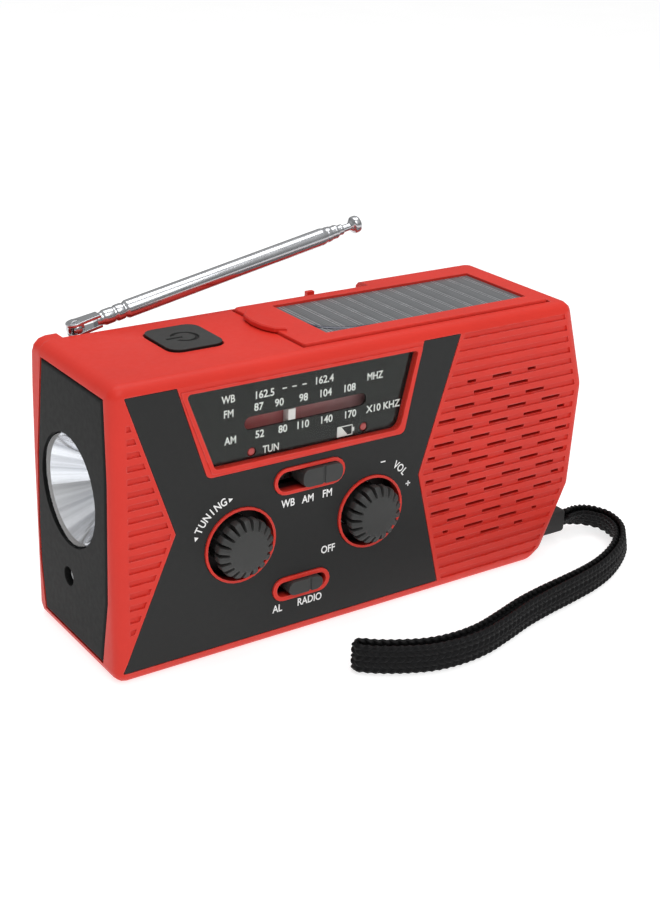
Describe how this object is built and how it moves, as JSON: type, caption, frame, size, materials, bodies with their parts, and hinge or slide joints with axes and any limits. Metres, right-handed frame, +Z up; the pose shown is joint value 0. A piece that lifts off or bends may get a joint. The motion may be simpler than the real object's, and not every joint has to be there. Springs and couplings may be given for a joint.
{
  "type": "emergency radio",
  "caption": "Hand-crank emergency radio with a dial window, knobs, end torch, flip-up solar lid, telescopic antenna and wrist strap.",
  "frame": {"origin": "on the flat base of the case, midway between the left end and the tip of the pointed right end", "axes": "+X along the case towards its pointed end, +Y from the front panel to the rear, +Z up"},
  "size_m": [0.1704, 0.0942, 0.0988],
  "materials": {
    "red_plastic": "smooth red moulded plastic",
    "black_panel": "fine matte black",
    "grey_plastic": "dark grey satin plastic",
    "window": "smoked clear window",
    "scale": "dark printed scale",
    "track": "dull red strip",
    "pointer": "white",
    "lamp_red": "red lamp body",
    "lamp_clear": "clear lamp body",
    "board": "green board",
    "metal_can": "plain steel",
    "screw_steel": "plated screw",
    "cream_plastic": "cream plastic",
    "speaker_steel": "grey painted steel",
    "cone": "pressed paper cone",
    "magnet": "ferrite",
    "mirror_coat": "bright reflector",
    "lens": "clear lens",
    "lamp_white": "white board with lamps",
    "diffuser": "milky cover",
    "solar": "dark cell with fine silver lines",
    "chrome": "bright chrome",
    "cell_wrap": "wrapped cell",
    "ferrite": "dark ferrite",
    "rubber": "soft black rubber",
    "webbing": "flat black braid"
  },
  "bodies": {
    "case": {"front_shell": "red_plastic", "rear_cover": "red_plastic", "screw_1": "screw_steel", "screw_2": "screw_steel", "screw_3": "screw_steel", "screw_4": "screw_steel", "front_panel": "black_panel", "dial_window": "window", "dial_scale": "scale", "dial_backing": "track", "tune_lamp": "lamp_red", "charge_lamp": "lamp_red", "main_board": "board", "tuning_capacitor": "cream_plastic", "volume_control": "metal_can", "band_switch": "metal_can", "mode_switch": "metal_can", "speaker_frame": "speaker_steel", "speaker_cone": "cone", "speaker_magnet": "magnet", "end_panel": "black_panel", "torch_reflector": "mirror_coat", "torch_lens": "lens", "torch_board": "lamp_white", "end_lamp": "lamp_clear", "power_switch": "black_panel", "switch_board": "board", "lamp_cover": "diffuser", "lamp_board": "lamp_white", "gear_plate": "metal_can", "dynamo": "metal_can", "battery": "cell_wrap", "port_block": "metal_can", "ferrite_rod": "ferrite", "strap_anchor": "black_panel", "wrist_strap": "webbing"},
    "tuning_knob": {"tuning_knob": "grey_plastic"},
    "volume_knob": {"volume_knob": "grey_plastic"},
    "pointer": {"dial_pointer": "pointer"},
    "band_slider": {"band_slider": "grey_plastic"},
    "mode_slider": {"mode_slider": "grey_plastic"},
    "power_button": {"power_button": "grey_plastic"},
    "solar_lid": {"solar_lid": "red_plastic", "solar_cell": "solar"},
    "antenna_post": {"antenna_post": "chrome"},
    "antenna_barrel": {"antenna_barrel": "chrome"},
    "antenna_section_2": {"antenna_section_2": "chrome"},
    "antenna_section_3": {"antenna_section_3": "chrome"},
    "antenna_section_4": {"antenna_section_4": "chrome"},
    "crank": {"crank_arm": "grey_plastic", "crank_screw": "screw_steel", "crank_gear": "cream_plastic"},
    "crank_yoke": {"crank_yoke": "grey_plastic"},
    "crank_grip": {"crank_grip": "grey_plastic"},
    "idler": {"idler_gear": "cream_plastic"},
    "dynamo_pinion": {"dynamo_pinion": "cream_plastic"},
    "battery_door": {"battery_door": "red_plastic"},
    "port_cover": {"port_cover": "rubber"}
  },
  "joints": [
    {"name": "tuning_turn", "type": "hinge", "parent": "case", "child": "tuning_knob", "pos_m": [-0.0397, -0.02, 0.0306], "axis": [0, 1, 0], "range_deg": [-380, 680]},
    {"name": "pointer_travel", "type": "slide", "parent": "case", "child": "pointer", "axis": [1, 0, 0], "range_m": [-0.0116, 0.0208]},
    {"name": "volume_turn", "type": "hinge", "parent": "case", "child": "volume_knob", "pos_m": [0.0005, -0.02, 0.0306], "axis": [0, 1, 0], "range_deg": [-150, 150]},
    {"name": "band_slide", "type": "slide", "parent": "case", "child": "band_slider", "axis": [1, 0, 0], "range_m": [-0.0066, 0]},
    {"name": "mode_slide", "type": "slide", "parent": "case", "child": "mode_slider", "axis": [1, 0, 0], "range_m": [-0.0027, 0]},
    {"name": "power_press", "type": "slide", "parent": "case", "child": "power_button", "axis": [0, 0, -1], "range_m": [0, 0.0009], "stiffness_N_per_m": 600, "springref_m": -0.0008},
    {"name": "lid_hinge", "type": "hinge", "parent": "case", "child": "solar_lid", "pos_m": [0.0601, -0.0013, 0.0783], "axis": [0, 1, 0], "range_deg": [0, 105]},
    {"name": "antenna_swivel", "type": "hinge", "parent": "case", "child": "antenna_post", "pos_m": [-0.0631, 0.0205, 0.074], "axis": [0, 0, 1], "range_deg": [0, 150]},
    {"name": "antenna_tilt", "type": "hinge", "parent": "antenna_post", "child": "antenna_barrel", "pos_m": [-0.0631, 0.0205, 0.0794], "axis": [0, -1, 0], "range_deg": [-11, 79]},
    {"name": "antenna_pull_2", "type": "slide", "parent": "antenna_barrel", "child": "antenna_section_2", "axis": [0.9813, 0, 0.1925], "range_m": [0, 0.066]},
    {"name": "antenna_pull_3", "type": "slide", "parent": "antenna_section_2", "child": "antenna_section_3", "axis": [0.9813, 0, 0.1925], "range_m": [0, 0.066]},
    {"name": "antenna_pull_4", "type": "slide", "parent": "antenna_section_3", "child": "antenna_section_4", "axis": [0.9813, 0, 0.1925], "range_m": [0, 0.066]},
    {"name": "crank_turn", "type": "hinge", "parent": "case", "child": "crank", "pos_m": [0.022, 0.0262, 0.038], "axis": [0, 1, 0], "continuous": true},
    {"name": "crank_fold", "type": "hinge", "parent": "crank", "child": "crank_yoke", "pos_m": [-0.011, 0.0284, 0.038], "axis": [0, 0, 1], "range_deg": [0, 90]},
    {"name": "grip_spin", "type": "hinge", "parent": "crank_yoke", "child": "crank_grip", "pos_m": [0, 0.0296, 0.038], "axis": [1, 0, 0], "continuous": true},
    {"name": "idler_turn", "type": "hinge", "parent": "case", "child": "idler", "pos_m": [0.006, 0.01, 0.038], "axis": [0, 1, 0], "continuous": true},
    {"name": "dynamo_turn", "type": "hinge", "parent": "case", "child": "dynamo_pinion", "pos_m": [-0.002, 0.009, 0.05186], "axis": [0, 1, 0], "continuous": true},
    {"name": "battery_door_hinge", "type": "hinge", "parent": "case", "child": "battery_door", "pos_m": [-0.0405, 0.0238, 0.00856], "axis": [-1, 0, 0], "range_deg": [0, 80]},
    {"name": "port_cover_hinge", "type": "hinge", "parent": "case", "child": "port_cover", "pos_m": [0.0737, 0.001, 0.0268], "axis": [0, 1, 0], "range_deg": [0, 100]}
  ],
  "couplings": [
    {"joint": "pointer_travel", "follows": "tuning_turn", "m_per_rad": 0.0017},
    {"joint": "idler_turn", "follows": "crank_turn", "ratio": -3},
    {"joint": "dynamo_turn", "follows": "crank_turn", "ratio": 9}
  ]
}
